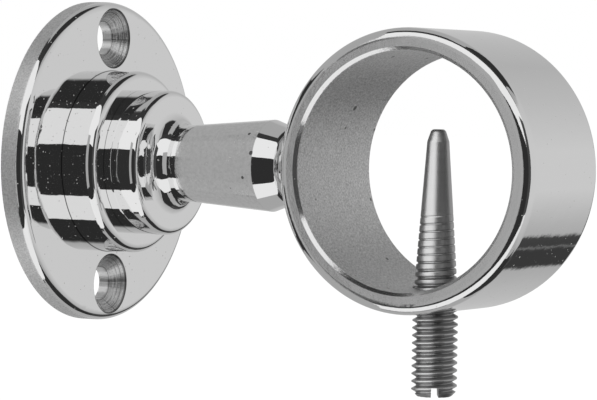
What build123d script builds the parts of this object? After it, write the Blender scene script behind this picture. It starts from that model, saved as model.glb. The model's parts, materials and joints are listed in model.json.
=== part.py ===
from build123d import *
import math
import os

# Rope holder: a wall rosette, a turned stem and an eye for a handrail rope,
# with a pointed screw that pins the rope in the eye.
# Millimetres. The origin is the centre of the rosette's wall face, +X leaves the
# wall along the stem, +Z is up, and the rope runs through the eye along Y.

# Rosette: the wall flange and its collar, turned as one
FLANGE_DIAMETER = 44.0
FLANGE_THICKNESS = 3.3
FLANGE_LIP_RADIUS = 1.3
COLLAR_DIAMETER = 25.0
COLLAR_LENGTH = 5.1
COLLAR_SHOULDER_RADIUS = 1.2

# Wall screw holes, one above and one below the collar
WALL_HOLE_SPACING = 34.0
WALL_HOLE_DIAMETER = 4.5
WALL_COUNTERSINK_DIAMETER = 8.3

# Stem: its foot, the short neck, the flared shank and its tapered, rounded end
FOOT_DIAMETER = 19.8
FOOT_LENGTH = 5.1
FOOT_EDGE_RADIUS = 1.0
NECK_DIAMETER = 10.5
NECK_LENGTH = 3.3
NECK_ROOT_RADIUS = 2.0
SHANK_END_DIAMETER = 12.4
SHANK_END_TAPER = 20.0
SHANK_END_TAPER_LENGTH = 2.6
SHANK_END_RADIUS = 1.0
SPIGOT_DIAMETER = 6.0
SPIGOT_SHOW = 3.0

# Eye ring that the rope runs through
REACH = 54.1
EYE_BORE = 31.1
EYE_WALL = 2.95
EYE_WIDTH = 20.5
EYE_OUTER_EDGE_RADIUS = 1.5
EYE_INNER_EDGE_CHAMFER = 0.5
EYE_POCKET_DEPTH = 1.6

# Pin screw through the foot of the eye, a metric thread with a long point
PIN_DIAMETER = 6.0
PIN_PITCH = 1.0
PIN_LENGTH = 35.0
PIN_THREAD_LENGTH = 12.1
PIN_TIP_RISE = 5.4
PIN_SHOULDER_DIAMETER = 2.9
PIN_NOSE_LENGTH = 1.6
PIN_NOSE_DIAMETER = 1.8
PIN_NOSE_EDGE = 0.35
PIN_END_CHAMFER = 0.8
PIN_SLOT_WIDTH = 1.0
PIN_SLOT_DEPTH = 1.3
PIN_SLOT_TURN = 30.0

# Countersunk screw that draws the stem onto the rosette from behind
FOOT_SCREW_DIAMETER = 6.0
FOOT_SCREW_HEAD_DIAMETER = 11.0
FOOT_SCREW_HEAD_RIM = 0.4
FOOT_SCREW_LENGTH = 16.0
FOOT_SCREW_SUNK = 0.5
FOOT_SCREW_SLOT_WIDTH = 1.6
FOOT_SCREW_SLOT_DEPTH = 1.3
FOOT_SCREW_END_CHAMFER = 0.6

# Clearances between pieces that fit into each other, on the radius
THREAD_CLEARANCE = 0.05
SPIGOT_CLEARANCE = 0.03
HEAD_CLEARANCE = 0.1
SHANK_CLEARANCE = 0.2
TAPPED_HOLE_SPARE = 2.0

# Thread form: a 60 degree vee with a flat at its root
THREAD_DEPTH_PER_PITCH = 0.6134
THREAD_ROOT_FLAT_PER_PITCH = 0.125
THREAD_HALF_ANGLE = 30.0
THREAD_START_TURN = 37.0
TURNS_AT_A_TIME = 6

# Places worked out from the sizes above
ROSETTE_FRONT = FLANGE_THICKNESS + COLLAR_LENGTH
FOOT_FRONT = ROSETTE_FRONT + FOOT_LENGTH
NECK_FRONT = FOOT_FRONT + NECK_LENGTH
EYE_INNER_RADIUS = EYE_BORE / 2
EYE_OUTER_RADIUS = EYE_INNER_RADIUS + EYE_WALL
SHANK_FRONT = REACH - EYE_OUTER_RADIUS - SPIGOT_SHOW
POCKET_FLOOR = REACH - EYE_OUTER_RADIUS + EYE_POCKET_DEPTH


def turned(profile, axis):
    """A solid turned from a closed half section."""
    return revolve(make_face(profile.edges()), axis)


def rounded_corner(corner, radius, start_angle):
    """A quarter round inside a corner, counterclockwise from start_angle."""
    turn = math.radians(start_angle + 45)
    inset = radius * math.sqrt(2)
    centre = (corner[0] - inset * math.cos(turn), corner[1] - inset * math.sin(turn))
    return CenterArc(centre, radius, start_angle, 90)


def bore_along_x(radius, start, end):
    """A round cutter on the stem's axis between two stations."""
    return Pos((start + end) / 2, 0, 0) * Rot(0, 90, 0) * Cylinder(radius, end - start)


def cone_along_x(radius_start, radius_end, start, end):
    """A tapered cutter or head on the stem's axis between two stations."""
    return Pos((start + end) / 2, 0, 0) * Rot(0, 90, 0) * Cone(radius_start, radius_end, end - start)


def wall_hole(height):
    """The cutter of one countersunk wall screw hole."""
    sink_radius = WALL_COUNTERSINK_DIAMETER / 2
    hole_radius = WALL_HOLE_DIAMETER / 2
    sink_start = FLANGE_THICKNESS - (sink_radius - hole_radius)
    sink = cone_along_x(hole_radius, sink_radius, sink_start, FLANGE_THICKNESS)
    hole = bore_along_x(hole_radius, -1, FLANGE_THICKNESS)
    return Pos(0, 0, height) * (sink + hole)


def head_seat(clearance):
    """The foot screw's head, or with a clearance the seat that takes it."""
    head_radius = FOOT_SCREW_HEAD_DIAMETER / 2 + clearance
    shank_radius = FOOT_SCREW_DIAMETER / 2
    cone_start = FOOT_SCREW_SUNK + FOOT_SCREW_HEAD_RIM + clearance
    cone_end = cone_start + head_radius - shank_radius
    rim = bore_along_x(head_radius, FOOT_SCREW_SUNK, cone_start)
    return rim + cone_along_x(head_radius, shank_radius, cone_start, cone_end)


def make_rosette():
    """Wall flange with a collar, two wall screw holes and the foot screw's seat."""
    flange_corner = (FLANGE_THICKNESS, FLANGE_DIAMETER / 2)
    collar_corner = (ROSETTE_FRONT, COLLAR_DIAMETER / 2)
    lip = rounded_corner(flange_corner, FLANGE_LIP_RADIUS, 0)
    shoulder = rounded_corner(collar_corner, COLLAR_SHOULDER_RADIUS, 0)
    outline = Polyline((0, 0), (0, FLANGE_DIAMETER / 2), lip @ 1)
    step = Polyline(lip @ 0, (FLANGE_THICKNESS, COLLAR_DIAMETER / 2), shoulder @ 1)
    front = Polyline(shoulder @ 0, (ROSETTE_FRONT, 0), (0, 0))
    body = turned(Curve() + [outline, lip, step, shoulder, front], Axis.X)
    for height in (-WALL_HOLE_SPACING / 2, WALL_HOLE_SPACING / 2):
        body -= wall_hole(height)
    shank_radius = FOOT_SCREW_DIAMETER / 2 + SHANK_CLEARANCE
    body -= bore_along_x(shank_radius, -1, ROSETTE_FRONT + 1)
    body -= head_seat(HEAD_CLEARANCE)
    body -= bore_along_x(FOOT_SCREW_HEAD_DIAMETER / 2 + HEAD_CLEARANCE, -1, FOOT_SCREW_SUNK)
    return body


def make_stem():
    """Foot, neck, flared shank with a tapered end, and the spigot for the eye."""
    foot_radius = FOOT_DIAMETER / 2
    neck_radius = NECK_DIAMETER / 2
    shank_radius = SHANK_END_DIAMETER / 2
    spigot_radius = SPIGOT_DIAMETER / 2
    edge = rounded_corner((FOOT_FRONT, foot_radius), FOOT_EDGE_RADIUS, 0)
    root_centre = (FOOT_FRONT + NECK_ROOT_RADIUS, neck_radius + NECK_ROOT_RADIUS)
    root = CenterArc(root_centre, NECK_ROOT_RADIUS, 180, 90)
    taper = math.radians(SHANK_END_TAPER)
    taper_end = SHANK_FRONT - SHANK_END_RADIUS * (1 - math.sin(taper))
    taper_start = taper_end - SHANK_END_TAPER_LENGTH
    end_radius = shank_radius - SHANK_END_TAPER_LENGTH * math.tan(taper)
    flare_start = Vector(NECK_FRONT, neck_radius)
    flare = Line(flare_start, (taper_start, shank_radius))
    end_taper = Line(flare @ 1, (taper_end, end_radius))
    end_round = JernArc(end_taper @ 1, end_taper % 1, SHANK_END_RADIUS, SHANK_END_TAPER - 90)
    foot = Polyline((ROSETTE_FRONT, 0), (ROSETTE_FRONT, foot_radius), edge @ 1)
    face = Line(edge @ 0, root @ 0)
    neck = Line(root @ 1, flare_start)
    end_face = (end_round @ 1).X
    spigot = Polyline(
        end_round @ 1, (end_face, spigot_radius), (POCKET_FLOOR, spigot_radius),
        (POCKET_FLOOR, 0), (ROSETTE_FRONT, 0))
    section = [foot, edge, face, root, neck, flare, end_taper, end_round, spigot]
    body = turned(Curve() + section, Axis.X)
    screw_end = FOOT_SCREW_SUNK + FOOT_SCREW_LENGTH
    tapped_radius = FOOT_SCREW_DIAMETER / 2 + THREAD_CLEARANCE
    tapped_end = screw_end + TAPPED_HOLE_SPARE
    body -= bore_along_x(tapped_radius, ROSETTE_FRONT - 1, tapped_end)
    return body


def make_eye():
    """The ring, with a pocket for the stem's spigot and a tapped hole below."""
    half = EYE_WIDTH / 2
    outer_far = rounded_corner((EYE_OUTER_RADIUS, half), EYE_OUTER_EDGE_RADIUS, 0)
    outer_near = rounded_corner((EYE_OUTER_RADIUS, -half), EYE_OUTER_EDGE_RADIUS, 270)
    chamfer_radius = EYE_INNER_RADIUS + EYE_INNER_EDGE_CHAMFER
    chamfer_start = half - EYE_INNER_EDGE_CHAMFER
    inside = Polyline(
        outer_far @ 1, (chamfer_radius, half), (EYE_INNER_RADIUS, chamfer_start),
        (EYE_INNER_RADIUS, -chamfer_start), (chamfer_radius, -half), outer_near @ 0)
    rim = Line(outer_near @ 1, outer_far @ 0)
    ring = Pos(REACH, 0, 0) * turned(Curve() + [outer_far, inside, outer_near, rim], Axis.Y)
    pocket_start = REACH - EYE_OUTER_RADIUS - 1
    ring -= bore_along_x(SPIGOT_DIAMETER / 2 + SPIGOT_CLEARANCE, pocket_start, POCKET_FLOOR)
    tapped_radius = PIN_DIAMETER / 2 + THREAD_CLEARANCE
    tapped_middle = -(EYE_INNER_RADIUS + EYE_WALL / 2)
    ring -= Pos(REACH, 0, tapped_middle) * Cylinder(tapped_radius, 2 * EYE_WALL)
    return ring


def pin_blank():
    """The pin screw before its thread is cut, its tip at the origin, point up."""
    radius = PIN_DIAMETER / 2
    nose_radius = PIN_NOSE_DIAMETER / 2
    taper_end = -(PIN_LENGTH - PIN_THREAD_LENGTH)
    nose = rounded_corner((nose_radius, 0), PIN_NOSE_EDGE, 0)
    top = Line((0, 0), nose @ 1)
    side = Polyline(
        nose @ 0, (PIN_SHOULDER_DIAMETER / 2, -PIN_NOSE_LENGTH), (radius, taper_end),
        (radius, PIN_END_CHAMFER - PIN_LENGTH), (radius - PIN_END_CHAMFER, -PIN_LENGTH),
        (0, -PIN_LENGTH), (0, 0))
    return Rot(90, 0, 0) * turned(Curve() + [top, nose, side], Axis.Y)


def thread_groove(start, turns):
    """The vee groove of the thread over some turns, upwards from one height."""
    radius = PIN_DIAMETER / 2
    depth = THREAD_DEPTH_PER_PITCH * PIN_PITCH
    root_half = THREAD_ROOT_FLAT_PER_PITCH * PIN_PITCH / 2
    beyond = depth / 8
    mouth_half = root_half + (depth + beyond) * math.tan(math.radians(THREAD_HALF_ANGLE))
    path = Pos(0, 0, start) * Helix(PIN_PITCH, turns * PIN_PITCH, radius)
    vee = make_face(Polyline(
        (-depth, -root_half), (beyond, -mouth_half),
        (beyond, mouth_half), (-depth, root_half), close=True).edges())
    section = Plane(origin=path @ 0, x_dir=(1, 0, 0), z_dir=path % 0) * vee
    return Rot(0, 0, THREAD_START_TURN) * sweep(section, path=path, is_frenet=True)


def threaded_rod():
    """A rod longer than the pin, grooved from its lower end to where the taper is clear."""
    radius = PIN_DIAMETER / 2
    taper_length = PIN_LENGTH - PIN_THREAD_LENGTH - PIN_NOSE_LENGTH
    taper_drop = radius - PIN_SHOULDER_DIAMETER / 2
    depth = THREAD_DEPTH_PER_PITCH * PIN_PITCH
    run_out = min(depth / taper_drop, 1) * taper_length
    rod = Pos(0, 0, -PIN_LENGTH / 2) * Cylinder(radius, PIN_LENGTH + 2 * PIN_PITCH)
    start = -PIN_LENGTH - 2 * PIN_PITCH
    while start < run_out - taper_length - PIN_NOSE_LENGTH:
        rod -= thread_groove(start, TURNS_AT_A_TIME)
        start += TURNS_AT_A_TIME * PIN_PITCH
    return rod


def make_pin():
    """Threaded screw with a long point up and a driving slot in its lower end."""
    body = pin_blank() & threaded_rod()
    slot_middle = PIN_SLOT_DEPTH / 2 - PIN_LENGTH
    slot = Box(PIN_SLOT_WIDTH, 2 * PIN_DIAMETER, PIN_SLOT_DEPTH)
    body -= Pos(0, 0, slot_middle) * Rot(0, 0, PIN_SLOT_TURN) * slot
    return Pos(REACH, 0, PIN_TIP_RISE) * body


def make_foot_screw():
    """Countersunk slotted screw, its head sunk in the back of the rosette."""
    radius = FOOT_SCREW_DIAMETER / 2
    end = FOOT_SCREW_SUNK + FOOT_SCREW_LENGTH
    chamfer_start = end - FOOT_SCREW_END_CHAMFER
    body = head_seat(0)
    body += bore_along_x(radius, FOOT_SCREW_SUNK + FOOT_SCREW_HEAD_RIM, chamfer_start)
    body += cone_along_x(radius, radius - FOOT_SCREW_END_CHAMFER, chamfer_start, end)
    slot_middle = FOOT_SCREW_SUNK + FOOT_SCREW_SLOT_DEPTH / 2
    slot = Box(FOOT_SCREW_SLOT_DEPTH, 2 * FOOT_SCREW_HEAD_DIAMETER, FOOT_SCREW_SLOT_WIDTH)
    return body - Pos(slot_middle, 0, 0) * slot


PIECES = {
    "wall_rosette": make_rosette,
    "stem": make_stem,
    "eye_ring": make_eye,
    "pin_screw": make_pin,
    "foot_screw": make_foot_screw,
}

os.makedirs("parts", exist_ok=True)
for name, make in PIECES.items():
    export_step(make(), "parts/" + name + ".step")
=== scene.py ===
import json
import math

import bpy
from mathutils import Matrix, Vector

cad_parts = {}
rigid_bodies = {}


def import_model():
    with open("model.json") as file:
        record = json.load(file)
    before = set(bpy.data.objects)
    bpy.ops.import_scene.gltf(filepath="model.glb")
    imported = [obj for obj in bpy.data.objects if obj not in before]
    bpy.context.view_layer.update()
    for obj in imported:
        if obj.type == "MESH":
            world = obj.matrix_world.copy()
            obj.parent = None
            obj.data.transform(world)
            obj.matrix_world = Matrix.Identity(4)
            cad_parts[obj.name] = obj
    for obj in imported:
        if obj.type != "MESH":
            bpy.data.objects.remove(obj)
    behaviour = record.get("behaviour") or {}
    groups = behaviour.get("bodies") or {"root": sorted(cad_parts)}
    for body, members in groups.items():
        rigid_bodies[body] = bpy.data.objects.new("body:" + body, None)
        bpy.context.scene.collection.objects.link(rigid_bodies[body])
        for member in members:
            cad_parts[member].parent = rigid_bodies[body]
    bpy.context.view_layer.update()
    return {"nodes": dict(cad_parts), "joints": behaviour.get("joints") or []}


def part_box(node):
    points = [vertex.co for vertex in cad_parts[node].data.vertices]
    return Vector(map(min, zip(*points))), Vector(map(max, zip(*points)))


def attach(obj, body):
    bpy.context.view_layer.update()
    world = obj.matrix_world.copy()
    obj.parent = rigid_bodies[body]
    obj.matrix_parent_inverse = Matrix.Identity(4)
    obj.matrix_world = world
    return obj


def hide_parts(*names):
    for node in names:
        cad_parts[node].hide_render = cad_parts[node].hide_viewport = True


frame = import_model()

bl_info = {
    "name": "Rope holder dressing",
    "version": (1, 0, 0),
    "blender": (4, 5, 0),
    "location": "3D View > Sidebar > Rope Holder",
    "description": "Finishes, thread and studio for a wall-mounted rope holder",
    "category": "Object",
}

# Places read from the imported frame, in metres
FLANGE_LOW, FLANGE_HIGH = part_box("wall_rosette")
EYE_LOW, EYE_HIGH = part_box("eye_ring")
PIN_LOW, PIN_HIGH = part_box("pin_screw")
EYE_CENTRE = (EYE_LOW + EYE_HIGH) / 2
EYE_HALF_WIDTH = (EYE_HIGH.y - EYE_LOW.y) / 2
FLANGE_RADIUS = (FLANGE_HIGH.z - FLANGE_LOW.z) / 2


class RopeHolderFinish(bpy.types.PropertyGroup):
    """Colours and gloss of the plate and the steel."""
    plate_colour: bpy.props.FloatVectorProperty(
        name="Plate colour", description="Reflection colour of the chrome plate",
        subtype="COLOR", size=3, min=0, max=1, default=(0.86, 0.86, 0.86))
    plate_roughness: bpy.props.FloatProperty(
        name="Plate roughness", description="Gloss of the polished turned faces",
        subtype="FACTOR", min=0, max=1, default=0.03)
    satin_roughness: bpy.props.FloatProperty(
        name="Satin roughness", description="Gloss of the faces left less polished",
        subtype="FACTOR", min=0, max=1, default=0.3)
    matte_roughness: bpy.props.FloatProperty(
        name="Matte roughness", description="Gloss of the eye's bore",
        subtype="FACTOR", min=0, max=1, default=0.55)
    matte_shade: bpy.props.FloatProperty(
        name="Matte shade", description="Brightness of the matte places against the polished",
        subtype="FACTOR", min=0, max=1, default=0.75)
    steel_colour: bpy.props.FloatVectorProperty(
        name="Steel colour", description="Reflection colour of the machined steel",
        subtype="COLOR", size=3, min=0, max=1, default=(0.43, 0.43, 0.43))
    steel_roughness: bpy.props.FloatProperty(
        name="Steel roughness", description="Gloss of the machined steel",
        subtype="FACTOR", min=0, max=1, default=0.34)


class RopeHolderPin(bpy.types.PropertyGroup):
    """Sizes of the pin screw, its tip up."""
    diameter: bpy.props.FloatProperty(
        name="Diameter", description="Across the thread's crests", unit="LENGTH", default=0.006)
    pitch: bpy.props.FloatProperty(
        name="Pitch", description="Rise of the thread in one turn", unit="LENGTH", default=0.001)
    length: bpy.props.FloatProperty(
        name="Length", description="From the tip to the slotted end", unit="LENGTH", default=0.035)
    thread_length: bpy.props.FloatProperty(
        name="Thread length", description="Stretch at full diameter", unit="LENGTH", default=0.0121)
    shoulder_diameter: bpy.props.FloatProperty(
        name="Shoulder diameter", description="Where the long taper meets the nose",
        unit="LENGTH", default=0.0029)
    nose_length: bpy.props.FloatProperty(
        name="Nose length", description="Steeper stretch at the tip", unit="LENGTH", default=0.0016)
    nose_diameter: bpy.props.FloatProperty(
        name="Nose diameter", description="At the tip", unit="LENGTH", default=0.0018)
    nose_edge: bpy.props.FloatProperty(
        name="Nose edge", description="Rounding of the tip's rim", unit="LENGTH", default=0.00035)
    end_chamfer: bpy.props.FloatProperty(
        name="End chamfer", description="At the slotted end", unit="LENGTH", default=0.0008)
    thread_depth: bpy.props.FloatProperty(
        name="Thread depth", description="From crest to root", unit="LENGTH", default=0.0006134)
    root_flat: bpy.props.FloatProperty(
        name="Root flat", description="Width of the groove's bottom",
        unit="LENGTH", default=0.000125)
    run_out_start: bpy.props.FloatProperty(
        name="Run-out start", description="From the tip to the first shallow turns",
        unit="LENGTH", default=0.0102)
    run_out_depth: bpy.props.FloatProperty(
        name="Run-out depth", description="Depth of the shallow turns on the taper",
        unit="LENGTH", default=0.00013)
    run_out_fade: bpy.props.FloatProperty(
        name="Run-out fade", description="Stretch in which the shallow turns reach their depth",
        unit="LENGTH", default=0.0025)
    flank_angle: bpy.props.FloatProperty(
        name="Flank angle", description="Half of the groove's angle",
        subtype="ANGLE", default=math.radians(30))
    start_turn: bpy.props.FloatProperty(
        name="Start turn", description="Where the groove starts around the axis",
        subtype="ANGLE", default=math.radians(37))
    slot_width: bpy.props.FloatProperty(
        name="Slot width", description="Of the driving slot", unit="LENGTH", default=0.001)
    slot_depth: bpy.props.FloatProperty(
        name="Slot depth", description="Of the driving slot", unit="LENGTH", default=0.0013)
    slot_turn: bpy.props.FloatProperty(
        name="Slot turn", description="Direction of the slot about the axis",
        subtype="ANGLE", default=math.radians(30))
    rows: bpy.props.IntProperty(
        name="Rows per pitch", description="Mesh rows along one pitch", min=8, max=24, default=16)
    segments: bpy.props.IntProperty(
        name="Segments", description="Mesh segments around the axis", min=24, max=96, default=48)


class RopeHolderStudio(bpy.types.PropertyGroup):
    """The camera's place, the pin's light and the floor."""
    azimuth: bpy.props.FloatProperty(
        name="Azimuth", description="Camera's turn from the front, towards the eye's side",
        subtype="ANGLE", default=math.radians(29.81))
    elevation: bpy.props.FloatProperty(
        name="Elevation", description="Camera's height above level",
        subtype="ANGLE", default=math.radians(1.865))
    roll: bpy.props.FloatProperty(
        name="Roll", description="Camera's tilt about its own line of sight",
        subtype="ANGLE", default=math.radians(0.933))
    distance: bpy.props.FloatProperty(
        name="Distance", description="From the aimed point to the camera",
        unit="LENGTH", default=0.43276)
    aim: bpy.props.FloatVectorProperty(
        name="Aim", description="The point at the middle of the picture",
        subtype="TRANSLATION", unit="LENGTH", size=3, default=(0.033179, 0, -0.004486))
    lens: bpy.props.FloatProperty(
        name="Lens", description="Focal length on a 36 mm wide sensor, in millimetres",
        default=194.7)
    pin_light: bpy.props.FloatProperty(
        name="Pin light", description="Power of the light on the pin screw",
        unit="POWER", default=1.1)
    floor_drop: bpy.props.FloatProperty(
        name="Floor drop", description="Room between the wound-out pin and the floor",
        unit="LENGTH", default=0.03)


def new_material(name):
    """A material with its node tree and its Principled shader."""
    material = bpy.data.materials.new(name)
    material.use_nodes = True
    tree = material.node_tree
    return material, tree, tree.nodes["Principled BSDF"]


def node(tree, kind, **settings):
    """A new node with some of its settings."""
    made = tree.nodes.new(kind)
    for key, value in settings.items():
        setattr(made, key, value)
    return made


def feed(tree, socket, value):
    """Links an output to a socket, or sets the socket to a plain value."""
    if isinstance(value, bpy.types.NodeSocket):
        tree.links.new(value, socket)
    else:
        socket.default_value = value


def maths(tree, operation, first, second=0.0, third=0.0):
    """A Math node on sockets or numbers; gives its output socket."""
    made = node(tree, "ShaderNodeMath", operation=operation)
    for place, value in enumerate((first, second, third)):
        feed(tree, made.inputs[place], value)
    return made.outputs[0]


def ramp_value(tree, value, start, end, low=0.0, high=1.0):
    """A value that goes evenly from low to high between two limits of another."""
    made = node(tree, "ShaderNodeMapRange", interpolation_type="SMOOTHSTEP")
    names = ("Value", "From Min", "From Max", "To Min", "To Max")
    for name, setting in zip(names, (value, start, end, low, high)):
        feed(tree, made.inputs[name], setting)
    return made.outputs[0]


def both(tree, first, second):
    """The product of two masks or shades."""
    return maths(tree, "MULTIPLY", first, second)


def step_between(tree, value, low, high):
    """One where the value lies between two limits, and nought elsewhere."""
    above = maths(tree, "GREATER_THAN", value, low)
    return both(tree, above, maths(tree, "LESS_THAN", value, high))


def blend_values(tree, factor, low, high):
    """A value that goes from low to high with the factor."""
    made = node(tree, "ShaderNodeMapRange")
    for name, value in (("Value", factor), ("To Min", low), ("To Max", high)):
        feed(tree, made.inputs[name], value)
    return made.outputs[0]


def blend_colours(tree, factor, low, high):
    """A colour that goes from low to high with the factor."""
    made = node(tree, "ShaderNodeMix", data_type="RGBA")
    feed(tree, made.inputs[0], factor)
    feed(tree, made.inputs[6], low)
    feed(tree, made.inputs[7], high)
    return made.outputs[2]


def millimetres(tree, centre=(0, 0, 0)):
    """Object coordinates in millimetres from a point, as a vector and its parts."""
    place = node(tree, "ShaderNodeTexCoord")
    mapping = node(tree, "ShaderNodeMapping", vector_type="POINT")
    mapping.inputs["Location"].default_value = [-1000 * part for part in centre]
    mapping.inputs["Scale"].default_value = (1000, 1000, 1000)
    tree.links.new(place.outputs["Object"], mapping.inputs["Vector"])
    split = node(tree, "ShaderNodeSeparateXYZ")
    tree.links.new(mapping.outputs[0], split.inputs[0])
    return mapping.outputs[0], split.outputs


def spread(tree, first, second):
    """The distance from an axis, from the two coordinates across it."""
    squares = maths(tree, "MULTIPLY_ADD", first, first, maths(tree, "MULTIPLY", second, second))
    return maths(tree, "SQRT", squares)


def new_group(name, inputs, outputs):
    """A shader node group with float and vector sockets; gives its tree and end nodes."""
    group = bpy.data.node_groups.new(name, "ShaderNodeTree")
    for title, kind, value in inputs:
        socket = group.interface.new_socket(title, in_out="INPUT", socket_type=kind)
        if value is not None:
            socket.default_value = value
    for title in outputs:
        group.interface.new_socket(title, in_out="OUTPUT", socket_type="NodeSocketFloat")
    return group, node(group, "NodeGroupInput"), node(group, "NodeGroupOutput")


def noise(tree, vector, scale, detail=2.0, roughness=0.5):
    """Three-dimensional noise from nought to one."""
    made = node(tree, "ShaderNodeTexNoise")
    feed(tree, made.inputs["Vector"], vector)
    feed(tree, made.inputs["Scale"], scale)
    made.inputs["Detail"].default_value = detail
    made.inputs["Roughness"].default_value = roughness
    return made.outputs[0]


def specks_group():
    """Sparse small spots: dust, pits and polish marks."""
    group, start, end = new_group(
        "specks",
        [("Vector", "NodeSocketVector", None), ("Cells", "NodeSocketFloat", 1.0),
         ("Share", "NodeSocketFloat", 0.2), ("Size", "NodeSocketFloat", 0.1)],
        ["Mask"])
    cells = node(group, "ShaderNodeTexVoronoi")
    feed(group, cells.inputs["Vector"], start.outputs["Vector"])
    feed(group, cells.inputs["Scale"], start.outputs["Cells"])
    split = node(group, "ShaderNodeSeparateColor")
    group.links.new(cells.outputs["Color"], split.inputs[0])
    chosen = maths(group, "LESS_THAN", split.outputs[0], start.outputs["Share"])
    size = maths(group, "MULTIPLY", start.outputs["Size"], split.outputs[1])
    near = maths(group, "LESS_THAN", cells.outputs["Distance"], size)
    group.links.new(maths(group, "MULTIPLY", chosen, near), end.inputs["Mask"])
    return group


def turning_group():
    """Fine rings left by a cutting tool, along one coordinate."""
    group, start, end = new_group(
        "turning_marks",
        [("Along", "NodeSocketFloat", 0.0), ("Per Millimetre", "NodeSocketFloat", 4.0)],
        ["Height"])
    rings = node(group, "ShaderNodeTexNoise", noise_dimensions="1D")
    feed(group, rings.inputs["W"], start.outputs["Along"])
    feed(group, rings.inputs["Scale"], start.outputs["Per Millimetre"])
    rings.inputs["Detail"].default_value = 3
    rings.inputs["Roughness"].default_value = 0.6
    group.links.new(rings.outputs[0], end.inputs["Height"])
    return group


def grain_group():
    """Unevenness of polished or cast metal: slow waves and fine grain."""
    group, start, end = new_group(
        "metal_grain",
        [("Vector", "NodeSocketVector", None), ("Waves", "NodeSocketFloat", 0.25),
         ("Grain", "NodeSocketFloat", 4.0)],
        ["Wave", "Grain"])
    vector = start.outputs["Vector"]
    wave = noise(group, vector, start.outputs["Waves"], detail=1.5)
    grain = noise(group, vector, start.outputs["Grain"], detail=3.0, roughness=0.6)
    group.links.new(wave, end.inputs["Wave"])
    group.links.new(grain, end.inputs["Grain"])
    return group


def use_group(tree, group, **values):
    """Places a group and feeds its inputs; underscores stand for spaces."""
    made = node(tree, "ShaderNodeGroup", node_tree=group)
    for name, value in values.items():
        feed(tree, made.inputs[name.replace("_", " ")], value)
    return made.outputs


def add_bump(tree, shader, height):
    """A bump from a height in millimetres."""
    bump = node(tree, "ShaderNodeBump")
    bump.inputs["Strength"].default_value = 1
    bump.inputs["Distance"].default_value = 0.001
    feed(tree, bump.inputs["Height"], height)
    tree.links.new(bump.outputs[0], shader.inputs["Normal"])


def add_up(tree, *terms):
    """The sum of value and weight pairs."""
    total = 0.0
    for value, weight in terms:
        total = maths(tree, "MULTIPLY_ADD", value, weight, total)
    return total


def assign(node_name, material):
    """Gives a CAD node's object one material."""
    mesh = frame["nodes"][node_name].data
    mesh.materials.clear()
    mesh.materials.append(material)


# Where the finishes change, in millimetres
FLANGE_THICKNESS = 3.3
COLLAR_RADIUS = 12.5
COUNTERSINK_RADIUS = 4.15
HOLE_HEIGHT = 17.0
FOOT_BACK = 8.4
FOOT_FRONT = 13.5
SHANK_START = 16.8
SHANK_TAPER = 29.4
BORE_RADIUS = 15.55
BORE_CHAMFER = 0.5

# Dust and darkness on the plate
DUST_COLOUR = (0.5, 0.5, 0.49, 1)
DUST_ROUGHNESS = 0.6
DUST_METALLIC = 0.3
DARKEST = (0.01, 0.01, 0.01, 1)

# Heights of the unevenness in the metal, in millimetres
WAVE_HEIGHT = 0.027
ROUGH_HEIGHT = 0.03
POLISH_HEIGHT = 0.0006
RING_HEIGHT = 0.09
CHATTER_HEIGHT = 0.08
DENT_HEIGHT = 0.02
RIPPLE_HEIGHT = 0.006
STEEL_HEIGHT = 0.012

# In the pin's mesh, flatter edges than this are smooth, and points closer than this many
# metres are one
CREASE_ANGLE = math.radians(32)
WELD_DISTANCE = 1e-6


def finish_plate(tree, shader, finish, vector, groups, satin, matte, shade, height):
    """Plate from its masks: satin, matte and dark places, dust, and a height for bumps."""
    grain = use_group(tree, groups["metal_grain"], Vector=vector)
    dust = use_group(
        tree, groups["specks"], Vector=vector, Cells=1.25, Share=0.8, Size=0.15)[0]
    roughness = blend_values(tree, satin, finish.plate_roughness, finish.satin_roughness)
    roughness = blend_values(tree, matte, roughness, finish.matte_roughness)
    uneven = maths(tree, "MULTIPLY_ADD", grain["Grain"], 0.5, 0.75)
    roughness = maths(tree, "MULTIPLY", roughness, uneven)
    feed(tree, shader.inputs["Roughness"], blend_values(tree, dust, roughness, DUST_ROUGHNESS))
    sandy = maths(tree, "MULTIPLY", grain["Grain"], 2 * finish.matte_shade)
    shade = maths(tree, "MULTIPLY", shade, blend_values(tree, matte, 1.0, sandy))
    colour = blend_colours(tree, shade, DARKEST, (*finish.plate_colour, 1))
    feed(tree, shader.inputs["Base Color"], blend_colours(tree, dust, colour, DUST_COLOUR))
    feed(tree, shader.inputs["Metallic"], blend_values(tree, dust, 1.0, DUST_METALLIC))
    rough_places = maths(tree, "MULTIPLY_ADD", satin, 0.4, matte)
    fine = maths(tree, "MULTIPLY", grain["Grain"], rough_places)
    add_bump(tree, shader, add_up(
        tree, (grain["Wave"], WAVE_HEIGHT), (fine, ROUGH_HEIGHT),
        (grain["Grain"], POLISH_HEIGHT), (height, 1.0)))


def countersink_marks(tree, groups, hole_radius, around):
    """The tool's rings and chatter in a countersink: a height, and the darkness of its lines."""
    def marks(along, per_millimetre):
        return use_group(
            tree, groups["turning_marks"], Along=along, Per_Millimetre=per_millimetre)[0]

    height = add_up(
        tree, (marks(hole_radius, 2.5), RING_HEIGHT), (marks(around, 4.0), CHATTER_HEIGHT))
    rings = ramp_value(tree, marks(hole_radius, 3.5), 0.36, 0.5, low=0.55)
    steps = ramp_value(tree, marks(around, 3.0), 0.36, 0.46, low=0.6)
    return height, both(tree, rings, steps)


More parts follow.
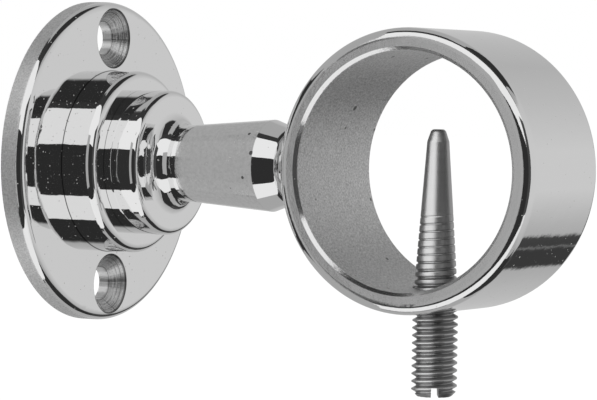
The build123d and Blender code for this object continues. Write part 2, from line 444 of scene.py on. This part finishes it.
def rosette_material(finish, groups):
    """Polished face and collar, satin edge and back, tool marks in the countersinks, and painted
    shade in the collar's corner and along the countersinks' rims.
    """
    material, tree, shader = new_material("rosette_chrome")
    vector, (out, along, up) = millimetres(tree)
    radius = spread(tree, along, up)
    edge = 1000 * FLANGE_RADIUS
    side = ramp_value(tree, radius, edge - 0.06, edge - 0.01)
    back = maths(tree, "LESS_THAN", out, 0.05)
    front = maths(tree, "GREATER_THAN", out, 0.1)
    off_hole = maths(tree, "SUBTRACT", maths(tree, "ABSOLUTE", up), HOLE_HEIGHT)
    hole_radius = spread(tree, along, off_hole)
    around = maths(tree, "ARCTAN2", off_hole, along)
    sink = both(tree, front, maths(tree, "LESS_THAN", hole_radius, COUNTERSINK_RADIUS + 0.02))
    marks, lines = countersink_marks(tree, groups, hole_radius, around)
    # Painted shade along the inner corner where the flange's face meets the collar
    off_corner = spread(
        tree, maths(tree, "SUBTRACT", out, FLANGE_THICKNESS),
        maths(tree, "SUBTRACT", radius, COLLAR_RADIUS))
    dark_line = ramp_value(tree, off_corner, 0.04, 0.13, low=0.35)
    # Painted shade in a thin ring along each countersink's rim, on the front face
    off_rim = maths(tree, "SUBTRACT", hole_radius, COUNTERSINK_RADIUS - 0.1)
    rim = ramp_value(tree, maths(tree, "ABSOLUTE", off_rim), 0.05, 0.2, low=0.4)
    rim = blend_values(tree, front, 1.0, rim)
    shade = both(tree, dark_line, both(tree, rim, blend_values(tree, sink, 1.0, lines)))
    satin = maths(tree, "MAXIMUM", side, maths(tree, "MAXIMUM", back, sink))
    matte = maths(
        tree, "MAXIMUM", maths(tree, "MULTIPLY", side, 0.6), maths(tree, "MULTIPLY", sink, 0.1))
    tooled = both(tree, marks, sink)
    finish_plate(tree, shader, finish, vector, groups, satin, matte, shade, tooled)
    return material


def stem_material(finish, groups):
    """Polished foot, neck and end, and a duller, pitted and mottled shank."""
    material, tree, shader = new_material("stem_chrome")
    vector, (out, *_) = millimetres(tree)
    dark_line = ramp_value(tree, maths(tree, "SUBTRACT", out, FOOT_BACK), 0.0, 0.1, low=0.25)
    shank = step_between(tree, out, SHANK_START, SHANK_TAPER)
    satin = maths(tree, "MULTIPLY", shank, 0.2)
    face = ramp_value(tree, maths(tree, "SUBTRACT", out, FOOT_FRONT), -0.1, 0.1)
    neck = both(tree, face, maths(tree, "LESS_THAN", out, SHANK_START))
    dents = both(tree, noise(tree, vector, 0.9, detail=1.0), neck)
    pits = use_group(
        tree, groups["specks"], Vector=vector, Cells=0.55, Share=0.5, Size=0.22)[0]
    clean = maths(tree, "MULTIPLY_ADD", both(tree, pits, satin), -4.0, dark_line)
    clouds = noise(tree, vector, 2.2, detail=4.0, roughness=0.7)
    mottle = blend_values(tree, shank, 1.0, maths(tree, "MULTIPLY_ADD", clouds, 0.5, 0.7))
    shade = both(tree, mottle, clean)
    dented = maths(tree, "MULTIPLY", dents, DENT_HEIGHT)
    finish_plate(tree, shader, finish, vector, groups, satin, 0.0, shade, dented)
    return material


def eye_material(finish, groups):
    """Polished outside, half satin faces and a matte, grainy bore with a few pits."""
    material, tree, shader = new_material("eye_chrome")
    vector, (out, along, up) = millimetres(tree, EYE_CENTRE)
    radius = spread(tree, out, up)
    width = maths(tree, "ABSOLUTE", along)
    half = 1000 * EYE_HALF_WIDTH
    chamfer_radius = BORE_RADIUS + BORE_CHAMFER
    face = both(
        tree, ramp_value(tree, width, half - 0.1, half - 0.02),
        ramp_value(tree, radius, chamfer_radius - 0.03, chamfer_radius))
    bore = maths(tree, "LESS_THAN", radius, BORE_RADIUS + 0.06)
    chamfer = maths(tree, "LESS_THAN", radius, chamfer_radius)
    satin = maths(
        tree, "MAXIMUM", maths(tree, "MULTIPLY", face, 0.45),
        maths(tree, "MULTIPLY", chamfer, 0.35))
    pits = use_group(
        tree, groups["specks"], Vector=vector, Cells=0.6, Share=0.14, Size=0.25)[0]
    shade = maths(tree, "MULTIPLY_ADD", both(tree, pits, bore), -0.75, 1.0)
    waves = noise(tree, vector, 1.3, detail=3.0, roughness=0.6)
    ripple = maths(tree, "MULTIPLY", waves, RIPPLE_HEIGHT)
    finish_plate(tree, shader, finish, vector, groups, satin, bore, shade, ripple)
    return material


def steel_material(name, finish, groups, centre, root_shade):
    """Machined steel with turning marks across its axis and painted shade in the thread roots."""
    material, tree, shader = new_material(name)
    vector, (out, along, up) = millimetres(tree, centre)
    marks = use_group(tree, groups["turning_marks"], Along=up, Per_Millimetre=2.2)[0]
    grain = use_group(tree, groups["metal_grain"], Vector=vector, Waves=0.6, Grain=5.0)
    uneven = add_up(tree, (marks, 0.3), (grain["Grain"], 0.3), (1.0, 0.7))
    # The thread roots' painted shade, times the turning marks and grain
    painted_shade_and_marks = both(tree, root_shade(tree, out, along, up), uneven)
    dark = tuple(0.2 * part for part in finish.steel_colour)
    colour = blend_colours(tree, painted_shade_and_marks, (*dark, 1), (*finish.steel_colour, 1))
    feed(tree, shader.inputs["Base Color"], colour)
    shader.inputs["Metallic"].default_value = 1
    low, high = finish.steel_roughness * 0.8, finish.steel_roughness * 1.2
    feed(tree, shader.inputs["Roughness"], blend_values(tree, marks, low, high))
    height = add_up(tree, (marks, STEEL_HEIGHT), (grain["Grain"], STEEL_HEIGHT))
    add_bump(tree, shader, height)
    return material


def pin_root_painted_shade(tree, out, along, up):
    """Painted shade in the thread's roots, from how far they lie below the blank."""
    pin = bpy.context.scene.rope_holder_pin
    radius = spread(tree, out, along)
    below_tip = maths(tree, "SUBTRACT", 1000 * PIN_HIGH.z, up)
    blank = ramp_value(
        tree, below_tip, 1000 * pin.nose_length, 1000 * (pin.length - pin.thread_length),
        500 * pin.shoulder_diameter, 500 * pin.diameter)
    depth = maths(tree, "SUBTRACT", blank, radius)
    return ramp_value(tree, depth, 0.15, 0.6, low=1.0, high=0.7)


def no_roots(tree, out, along, up):
    """Even steel."""
    return 1.0


class Fields:
    """Short names for the field nodes of one Geometry Nodes tree."""

    def __init__(self, tree):
        self.tree = tree

    def maths(self, operation, first, second=0.0, third=0.0):
        """One Math node."""
        return maths(self.tree, operation, first, second, third)

    def least(self, *values):
        """The smallest of some values."""
        smallest = values[0]
        for value in values[1:]:
            smallest = self.maths("MINIMUM", smallest, value)
        return smallest

    def line(self, start_radius, start_depth, end_radius, end_depth, depth):
        """Radius on the straight line between two points of the profile."""
        slope = self.maths(
            "DIVIDE", self.maths("SUBTRACT", end_radius, start_radius),
            self.maths("SUBTRACT", end_depth, start_depth))
        run = self.maths("SUBTRACT", depth, start_depth)
        return self.maths("MULTIPLY_ADD", run, slope, start_radius)


PIN_INPUTS = (
    "diameter", "pitch", "length", "thread_length", "shoulder_diameter", "nose_length",
    "nose_diameter", "nose_edge", "end_chamfer", "thread_depth", "root_flat",
    "run_out_start", "run_out_depth", "run_out_fade", "flank_angle", "start_turn",
    "slot_width", "slot_depth", "slot_turn",
)


def pin_blank_radius(fields, sizes, depth):
    """Radius of the blank at a depth below the tip."""
    half = {name: fields.maths("MULTIPLY", sizes[name], 0.5)
            for name in ("diameter", "shoulder_diameter", "nose_diameter")}
    taper_end = fields.maths("SUBTRACT", sizes["length"], sizes["thread_length"])
    nose = fields.line(
        half["nose_diameter"], 0.0, half["shoulder_diameter"], sizes["nose_length"], depth)
    taper = fields.line(
        half["shoulder_diameter"], sizes["nose_length"], half["diameter"], taper_end, depth)
    end = fields.maths("SUBTRACT", half["diameter"], sizes["end_chamfer"])
    chamfer = fields.maths("ADD", end, fields.maths("SUBTRACT", sizes["length"], depth))
    edge = sizes["nose_edge"]
    rest = fields.maths("MAXIMUM", fields.maths("SUBTRACT", edge, depth), 0.0)
    squares = fields.maths(
        "SUBTRACT", fields.maths("MULTIPLY", edge, edge), fields.maths("MULTIPLY", rest, rest))
    bulge = fields.maths("ADD", nose, fields.maths("SUBTRACT", fields.maths("SQRT", squares), edge))
    return fields.least(bulge, taper, half["diameter"], chamfer)


def pin_thread_radius(fields, sizes, blank, depth, turn):
    """Radius of the groove's faces at a depth below the tip and a share of a turn."""
    pitches = fields.maths("DIVIDE", depth, sizes["pitch"])
    start = fields.maths("DIVIDE", sizes["start_turn"], 2 * math.pi)
    phase = fields.maths("SUBTRACT", start, fields.maths("ADD", pitches, turn))
    off_centre = fields.maths(
        "MULTIPLY", fields.maths("PINGPONG", phase, 0.5), sizes["pitch"])
    off_root = fields.maths("MULTIPLY_ADD", sizes["root_flat"], -0.5, off_centre)
    slope = fields.maths("TANGENT", sizes["flank_angle"])
    rise = fields.maths("DIVIDE", fields.maths("MAXIMUM", off_root, 0.0), slope)
    full = fields.maths(
        "SUBTRACT", fields.maths("MULTIPLY", sizes["diameter"], 0.5), sizes["thread_depth"])
    started = fields.maths(
        "DIVIDE", fields.maths("SUBTRACT", depth, sizes["run_out_start"]), sizes["run_out_fade"])
    shallow = fields.maths(
        "MULTIPLY", sizes["run_out_depth"], fields.maths("MINIMUM", started, 1.0))
    root = fields.least(full, fields.maths("SUBTRACT", blank, shallow))
    return fields.maths("ADD", root, rise)


def pin_tree():
    """Geometry Nodes for the pin screw: a mesh whose rows follow the thread's helix."""
    tree = bpy.data.node_groups.new("pin_thread", "GeometryNodeTree")
    for name in PIN_INPUTS:
        tree.interface.new_socket(name, in_out="INPUT", socket_type="NodeSocketFloat")
    for name in ("rows", "segments"):
        tree.interface.new_socket(name, in_out="INPUT", socket_type="NodeSocketInt")
    tree.interface.new_socket("place", in_out="INPUT", socket_type="NodeSocketVector")
    tree.interface.new_socket("material", in_out="INPUT", socket_type="NodeSocketMaterial")
    tree.interface.new_socket("Geometry", in_out="OUTPUT", socket_type="NodeSocketGeometry")
    sizes = node(tree, "NodeGroupInput").outputs
    fields = Fields(tree)
    pitch, length = sizes["pitch"], sizes["length"]
    step = fields.maths("DIVIDE", pitch, sizes["rows"])
    reach = fields.maths("MULTIPLY_ADD", pitch, 2.0, length)
    last_row = fields.maths("CEIL", fields.maths("DIVIDE", reach, step))
    grid = node(tree, "GeometryNodeMeshGrid")
    feed(tree, grid.inputs["Vertices X"], fields.maths("ADD", sizes["segments"], 1.0))
    feed(tree, grid.inputs["Vertices Y"], fields.maths("ADD", last_row, 1.0))
    split = node(tree, "ShaderNodeSeparateXYZ")
    tree.links.new(node(tree, "GeometryNodeInputPosition").outputs[0], split.inputs[0])
    turn = fields.maths("ADD", split.outputs["X"], 0.5)
    row = fields.maths("MULTIPLY", fields.maths("ADD", split.outputs["Y"], 0.5), last_row)
    helix = fields.maths("MULTIPLY_ADD", pitch, turn, fields.maths("MULTIPLY", row, step))
    # The rows run from below the slotted end to past the tip. Those past either end
    # stay level with it and close onto the axis.
    run = fields.maths("SUBTRACT", helix, fields.maths("MULTIPLY_ADD", pitch, 1.5, length))
    lowest = fields.maths("MULTIPLY", length, -1.0)
    level = fields.maths("MAXIMUM", fields.maths("MINIMUM", run, 0.0), lowest)
    depth = fields.maths("MULTIPLY", level, -1.0)
    above = fields.maths("MAXIMUM", run, 0.0)
    below = fields.maths("MAXIMUM", fields.maths("SUBTRACT", lowest, run), 0.0)
    past = fields.maths(
        "DIVIDE", fields.maths("ADD", above, below), fields.maths("MULTIPLY", pitch, 0.4))
    cap = fields.maths("SUBTRACT", 1.0, fields.maths("MINIMUM", past, 1.0))
    blank = pin_blank_radius(fields, sizes, depth)
    thread = pin_thread_radius(fields, sizes, blank, depth, turn)
    radius = fields.maths("MULTIPLY", fields.least(blank, thread), cap)
    angle = fields.maths("MULTIPLY", turn, 2 * math.pi)
    place = node(tree, "ShaderNodeCombineXYZ")
    feed(tree, place.inputs[0], fields.maths("MULTIPLY", radius, fields.maths("COSINE", angle)))
    feed(tree, place.inputs[1], fields.maths("MULTIPLY", radius, fields.maths("SINE", angle)))
    feed(tree, place.inputs[2], fields.maths("MULTIPLY", depth, -1.0))
    wrap = node(tree, "GeometryNodeSetPosition")
    tree.links.new(grid.outputs["Mesh"], wrap.inputs["Geometry"])
    tree.links.new(place.outputs[0], wrap.inputs["Position"])
    weld = node(tree, "GeometryNodeMergeByDistance")
    weld.inputs["Distance"].default_value = WELD_DISTANCE
    tree.links.new(wrap.outputs[0], weld.inputs["Geometry"])
    slotted = cut_slot(tree, fields, sizes, weld.outputs[0])
    finish_tree(tree, sizes, slotted)
    return tree


def cut_slot(tree, fields, sizes, body):
    """Takes the driving slot out of the pin's lower end."""
    box = node(tree, "GeometryNodeMeshCube")
    size = node(tree, "ShaderNodeCombineXYZ")
    feed(tree, size.inputs[0], sizes["slot_width"])
    feed(tree, size.inputs[1], fields.maths("MULTIPLY", sizes["diameter"], 2.0))
    feed(tree, size.inputs[2], fields.maths("MULTIPLY", sizes["slot_depth"], 2.0))
    tree.links.new(size.outputs[0], box.inputs["Size"])
    place = node(tree, "ShaderNodeCombineXYZ")
    feed(tree, place.inputs[2], fields.maths("MULTIPLY", sizes["length"], -1.0))
    turn = node(tree, "ShaderNodeCombineXYZ")
    feed(tree, turn.inputs[2], sizes["slot_turn"])
    move = node(tree, "GeometryNodeTransform")
    tree.links.new(box.outputs["Mesh"], move.inputs["Geometry"])
    tree.links.new(place.outputs[0], move.inputs["Translation"])
    tree.links.new(turn.outputs[0], move.inputs["Rotation"])
    cut = node(tree, "GeometryNodeMeshBoolean", operation="DIFFERENCE", solver="EXACT")
    tree.links.new(body, cut.inputs[0])
    tree.links.new(move.outputs[0], cut.inputs[1])
    return cut.outputs[0]


def finish_tree(tree, sizes, body):
    """Smooth faces with sharp creases, the pin's place, real geometry and its material."""
    crease = node(tree, "GeometryNodeInputMeshEdgeAngle")
    soft = maths(tree, "LESS_THAN", crease.outputs[0], CREASE_ANGLE)
    faces = node(tree, "GeometryNodeSetShadeSmooth", domain="FACE")
    edges = node(tree, "GeometryNodeSetShadeSmooth", domain="EDGE")
    move = node(tree, "GeometryNodeTransform")
    realize = node(tree, "GeometryNodeRealizeInstances")
    paint = node(tree, "GeometryNodeSetMaterial")
    tree.links.new(body, faces.inputs[0])
    tree.links.new(faces.outputs[0], edges.inputs[0])
    feed(tree, edges.inputs["Shade Smooth"], soft)
    tree.links.new(edges.outputs[0], move.inputs["Geometry"])
    tree.links.new(sizes["place"], move.inputs["Translation"])
    tree.links.new(move.outputs[0], realize.inputs[0])
    tree.links.new(realize.outputs[0], paint.inputs[0])
    tree.links.new(sizes["material"], paint.inputs["Material"])
    tree.links.new(paint.outputs[0], node(tree, "NodeGroupOutput").inputs[0])


def baked_piece(name, tree, values):
    """Runs a Geometry Nodes tree with its named inputs and keeps the result as a plain mesh."""
    maker = bpy.data.objects.new(name + "_maker", bpy.data.meshes.new(name + "_maker"))
    bpy.context.scene.collection.objects.link(maker)
    modifier = maker.modifiers.new("shape", "NODES")
    modifier.node_group = tree
    for item in tree.interface.items_tree:
        if item.in_out == "INPUT":
            modifier[item.identifier] = values[item.name]
    graph = bpy.context.evaluated_depsgraph_get()
    mesh = bpy.data.meshes.new_from_object(maker.evaluated_get(graph))
    if not mesh.polygons:
        raise RuntimeError(name + " has no faces")
    mesh.materials.clear()
    mesh.materials.append(values["material"])
    mesh.polygons.foreach_set("material_index", [0] * len(mesh.polygons))
    bpy.data.objects.remove(maker)
    mesh.name = name
    piece = bpy.data.objects.new(name, mesh)
    bpy.context.scene.collection.objects.link(piece)
    return piece


def build_groups():
    """The effects that the finishes share, each built once."""
    makers = {"specks": specks_group, "turning_marks": turning_group, "metal_grain": grain_group}
    return {name: bpy.data.node_groups.get(name) or make() for name, make in makers.items()}


class ROPEHOLDER_OT_dress_bracket(bpy.types.Operator):
    """Finish the rosette, the stem and the eye"""
    bl_idname = "rope_holder.dress_bracket"
    bl_label = "Dress Bracket"

    def execute(self, context):
        finish = context.scene.rope_holder_finish
        groups = build_groups()
        assign("wall_rosette", rosette_material(finish, groups))
        assign("stem", stem_material(finish, groups))
        assign("eye_ring", eye_material(finish, groups))
        return {"FINISHED"}


class ROPEHOLDER_OT_build_pin(bpy.types.Operator):
    """Build the threaded pin screw"""
    bl_idname = "rope_holder.build_pin"
    bl_label = "Build Pin Screw"

    def execute(self, context):
        scene = context.scene
        groups = build_groups()
        axis = Vector((EYE_CENTRE.x, EYE_CENTRE.y, 0))
        # The pin's steel gets painted shade in its thread roots
        steel = steel_material("pin_steel", scene.rope_holder_finish, groups, axis, pin_root_painted_shade)
        names = (*PIN_INPUTS, "rows", "segments")
        values = {name: getattr(scene.rope_holder_pin, name) for name in names}
        values["place"] = (axis.x, axis.y, PIN_HIGH.z)
        values["material"] = steel
        piece = baked_piece("pin_screw_threaded", pin_tree(), values)
        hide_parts("pin_screw")
        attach(piece, "pin")
        return {"FINISHED"}


class ROPEHOLDER_OT_dress_foot_screw(bpy.types.Operator):
    """Finish the foot screw"""
    bl_idname = "rope_holder.dress_foot_screw"
    bl_label = "Dress Foot Screw"

    def execute(self, context):
        finish = context.scene.rope_holder_finish
        groups = build_groups()
        assign("foot_screw", steel_material("foot_screw_steel", finish, groups, Vector(), no_roots))
        return {"FINISHED"}


# The studio as the plate reflects it. Each pair is a turn in degrees and the brightness
# there. In front of the part the turn goes about the stem's axis, up from level; behind
# it, it goes about the eye's axis, up from straight out. Strips in front start where
# they stand; the light behind runs on evenly between its pairs.
FRONT_STRIPS = (
    (-180, 0.18), (-125, 0.16), (-120, 0.035), (-87, 0.91), (-46, 0.03),
    (20, 0.92), (70, 0.04), (86, 0.10), (89, 0.035), (118, 0.10), (135, 0.25),
)
BACK_LIGHT = (
    (-180, 0.60), (-144, 0.55), (-112, 0.50), (-90, 0.44), (-87, 0.045), (-69, 0.045),
    (-68, 0.18), (-67, 0.18), (-66, 0.05), (-57.5, 0.06), (-55.5, 0.45), (-46, 0.49),
    (-16, 0.66), (16, 0.66), (64, 0.54), (96, 0.48), (144, 0.54), (180, 0.60),
)
SIDE_GREY = 0.42
DARK = 0.03
AMBIENT = 1.15

# Where the studio's plain places are. Azimuths are in degrees from straight out of the
# wall, and the others are parts of a unit direction: out, along the rope's way, or up.
FRONT_AZIMUTH = -14
LEVEL_UP = 0.5
ASIDE_AZIMUTH = -38
ASIDE_GREY = 0.065
LOW_SIDE_AZIMUTH = -29
LOW_SIDE_UP = (-0.72, -0.4)
LOW_SIDE_GREY = 0.84
PANEL_AZIMUTHS = (-120.7, -87)
STRIPS_OUT = -0.59
RIGHT_OUT = (0.08, 0.6)
ABOVE_UP = (0.6, 0.7)
WALLWARD_OUT = -0.445
WALLWARD_ALONG = 0.75
OVERHEAD_UP = 0.995
WALL_OUT = -0.8
WALL_UP = (0.09, 0.37)
WALL_ALONG = (-0.55, 0.25)

# The pin's light, in metres and degrees of azimuth, and the floor's half size in metres
PIN_LIGHT_SIZE = 0.5
PIN_LIGHT_DISTANCE = 0.25
PIN_LIGHT_AZIMUTH = -118
FLOOR_REACH = 6.0


def turn_ramp(tree, turn, stops, interpolation):
    """Brightness that follows a turn in degrees."""
    ramp = node(tree, "ShaderNodeValToRGB")
    ramp.color_ramp.interpolation = interpolation
    elements = ramp.color_ramp.elements
    elements.remove(elements[1])
    elements[0].position = 0
    elements[0].color = (stops[0][1],) * 3 + (1,)
    for start, grey in stops[1:]:
        elements.new((start + 180) / 360).color = (grey, grey, grey, 1)
    share = maths(tree, "MULTIPLY_ADD", turn, 1 / 360, 0.5)
    tree.links.new(share, ramp.inputs[0])
    return ramp.outputs[0]


def degrees_from(tree, level, rise):
    """The turn in degrees from one part of a direction up to another."""
    return maths(tree, "MULTIPLY", maths(tree, "ARCTAN2", rise, level), 180 / math.pi)


def front_light(tree, out, along, up, height, azimuth):
    """Brightness in front of the part: the strips, with plain places set into them."""
    turn = degrees_from(tree, maths(tree, "MULTIPLY", along, -1), up)
    light = turn_ramp(tree, turn, FRONT_STRIPS, "CONSTANT")
    level = maths(tree, "LESS_THAN", height, LEVEL_UP)
    aside = both(tree, maths(tree, "GREATER_THAN", azimuth, ASIDE_AZIMUTH), level)
    light = blend_values(tree, aside, light, ASIDE_GREY)
    low_side = both(
        tree, maths(tree, "GREATER_THAN", azimuth, LOW_SIDE_AZIMUTH),
        step_between(tree, up, *LOW_SIDE_UP))
    light = blend_values(tree, low_side, light, LOW_SIDE_GREY)
    panel = both(tree, step_between(tree, azimuth, *PANEL_AZIMUTHS), level)
    light = blend_values(tree, panel, light, SIDE_GREY)
    return blend_values(tree, maths(tree, "GREATER_THAN", out, STRIPS_OUT), SIDE_GREY, light)


def back_light(tree, out, along, up, height, right):
    """Brightness behind the part, with plain places above, below and by the wall."""
    light = turn_ramp(tree, degrees_from(tree, out, up), BACK_LIGHT, "LINEAR")
    above = blend_values(tree, right, SIDE_GREY, DARK)
    light = blend_values(tree, ramp_value(tree, height, *ABOVE_UP), light, above)
    wallward = both(
        tree, maths(tree, "LESS_THAN", out, WALLWARD_OUT),
        maths(tree, "LESS_THAN", along, WALLWARD_ALONG))
    return blend_values(tree, wallward, light, SIDE_GREY)


def studio_world():
    """White behind the object, even light for the floor, and the strips for reflections."""
    world = bpy.data.worlds.new("studio")
    bpy.context.scene.world = world
    world.use_nodes = True
    world.cycles.sampling_method = "NONE"
    tree = world.node_tree
    place = node(tree, "ShaderNodeTexCoord")
    split = node(tree, "ShaderNodeSeparateXYZ")
    tree.links.new(place.outputs["Generated"], split.inputs[0])
    out, along, up = split.outputs
    height = maths(tree, "ABSOLUTE", up)
    azimuth = degrees_from(tree, out, along)
    right = step_between(tree, out, *RIGHT_OUT)
    front = front_light(tree, out, along, up, height, azimuth)
    back = back_light(tree, out, along, up, height, right)
    seen = blend_values(tree, maths(tree, "LESS_THAN", azimuth, FRONT_AZIMUTH), back, front)
    overhead = both(
        tree, maths(tree, "GREATER_THAN", height, OVERHEAD_UP),
        maths(tree, "SUBTRACT", 1.0, right))
    seen = blend_values(tree, overhead, seen, SIDE_GREY)
    by_wall = both(
        tree, maths(tree, "LESS_THAN", out, WALL_OUT), step_between(tree, height, *WALL_UP))
    by_wall = both(tree, by_wall, step_between(tree, along, *WALL_ALONG))
    seen = blend_values(tree, by_wall, seen, DARK)
    ray = node(tree, "ShaderNodeLightPath")
    glossy = blend_values(tree, ray.outputs["Is Glossy Ray"], AMBIENT, seen)
    final = blend_values(tree, ray.outputs["Is Camera Ray"], glossy, 1.0)
    tree.links.new(final, tree.nodes["Background"].inputs["Color"])


def studio_floor(height):
    """A plain pale floor."""
    mesh = bpy.data.meshes.new("floor")
    signs = ((-1, -1), (1, -1), (1, 1), (-1, 1))
    corners = [(x * FLOOR_REACH, y * FLOOR_REACH, height) for x, y in signs]
    mesh.from_pydata(corners, [], [(0, 1, 2, 3)])
    floor = bpy.data.objects.new("floor", mesh)
    bpy.context.scene.collection.objects.link(floor)
    material, _, shader = new_material("floor_white")
    shader.inputs["Base Color"].default_value = (0.9, 0.9, 0.9, 1)
    shader.inputs["Roughness"].default_value = 1
    shader.inputs["Specular IOR Level"].default_value = 0
    mesh.materials.append(material)
    floor.visible_glossy = False


def pin_light(power):
    """A broad soft light from the front left that reaches the pin screw alone."""
    data = bpy.data.lights.new("pin_light", "AREA")
    data.size = PIN_LIGHT_SIZE
    data.energy = power
    lamp = bpy.data.objects.new("pin_light", data)
    bpy.context.scene.collection.objects.link(lamp)
    turn = math.radians(PIN_LIGHT_AZIMUTH)
    away = Vector((math.cos(turn), math.sin(turn), 0))
    place = Vector((EYE_CENTRE.x, 0, 0)) + PIN_LIGHT_DISTANCE * away
    facing = away.to_track_quat("Z", "Y").to_matrix().to_4x4()
    lamp.matrix_world = Matrix.Translation(place) @ facing
    lamp.visible_camera = False
    only = bpy.data.collections.new("pin_only")
    for piece in bpy.data.objects:
        if piece.name.startswith("pin_screw"):
            only.objects.link(piece)
    lamp.light_linking.receiver_collection = only


def studio_camera(studio):
    """The camera at the photograph's angle."""
    turn, lift = studio.azimuth, studio.elevation
    back = Vector((
        math.sin(turn) * math.cos(lift), -math.cos(turn) * math.cos(lift), math.sin(lift)))
    right = Vector((math.cos(turn), math.sin(turn), 0))
    up = back.cross(right)
    tilt = Matrix.Rotation(studio.roll, 3, back)
    data = bpy.data.cameras.new("camera")
    data.lens = studio.lens
    data.clip_start = 0.01
    data.clip_end = 20
    camera = bpy.data.objects.new("camera", data)
    bpy.context.scene.collection.objects.link(camera)
    axes = Matrix((right, up, back)).transposed()
    place = Vector(studio.aim) + back * studio.distance
    camera.matrix_world = Matrix.Translation(place) @ (tilt @ axes).to_4x4()
    bpy.context.scene.camera = camera


class ROPEHOLDER_OT_set_stage(bpy.types.Operator):
    """Set up the floor, the studio and the camera"""
    bl_idname = "rope_holder.set_stage"
    bl_label = "Set Stage"

    def execute(self, context):
        studio = context.scene.rope_holder_studio
        travel = min(joint["range_m"][0] for joint in frame["joints"])
        studio_floor(PIN_LOW.z + travel - studio.floor_drop)
        studio_world()
        pin_light(studio.pin_light)
        studio_camera(studio)
        context.scene.view_settings.view_transform = "Standard"
        context.scene.view_settings.look = "None"
        return {"FINISHED"}


class ROPEHOLDER_PT_sidebar(bpy.types.Panel):
    """Rope holder sizes and steps"""
    bl_idname = "ROPEHOLDER_PT_sidebar"
    bl_label = "Rope Holder"
    bl_space_type = "VIEW_3D"
    bl_region_type = "UI"
    bl_category = "Rope Holder"

    def draw(self, context):
        layout = self.layout
        scene = context.scene
        for group in (scene.rope_holder_finish, scene.rope_holder_pin, scene.rope_holder_studio):
            box = layout.box()
            for name in group.bl_rna.properties.keys():
                if name not in ("rna_type", "name"):
                    box.prop(group, name)
        for operator in OPERATORS:
            layout.operator(operator.bl_idname)


OPERATORS = (
    ROPEHOLDER_OT_dress_bracket,
    ROPEHOLDER_OT_build_pin,
    ROPEHOLDER_OT_dress_foot_screw,
    ROPEHOLDER_OT_set_stage,
)
CLASSES = (RopeHolderFinish, RopeHolderPin, RopeHolderStudio, *OPERATORS, ROPEHOLDER_PT_sidebar)


def register():
    for cls in CLASSES:
        bpy.utils.register_class(cls)
    bpy.types.Scene.rope_holder_finish = bpy.props.PointerProperty(type=RopeHolderFinish)
    bpy.types.Scene.rope_holder_pin = bpy.props.PointerProperty(type=RopeHolderPin)
    bpy.types.Scene.rope_holder_studio = bpy.props.PointerProperty(type=RopeHolderStudio)


def unregister():
    del bpy.types.Scene.rope_holder_studio
    del bpy.types.Scene.rope_holder_pin
    del bpy.types.Scene.rope_holder_finish
    for cls in reversed(CLASSES):
        bpy.utils.unregister_class(cls)


def main():
    register()
    bpy.ops.rope_holder.dress_bracket()
    bpy.ops.rope_holder.build_pin()
    bpy.ops.rope_holder.dress_foot_screw()
    bpy.ops.rope_holder.set_stage()


if __name__ == "__main__":
    main()
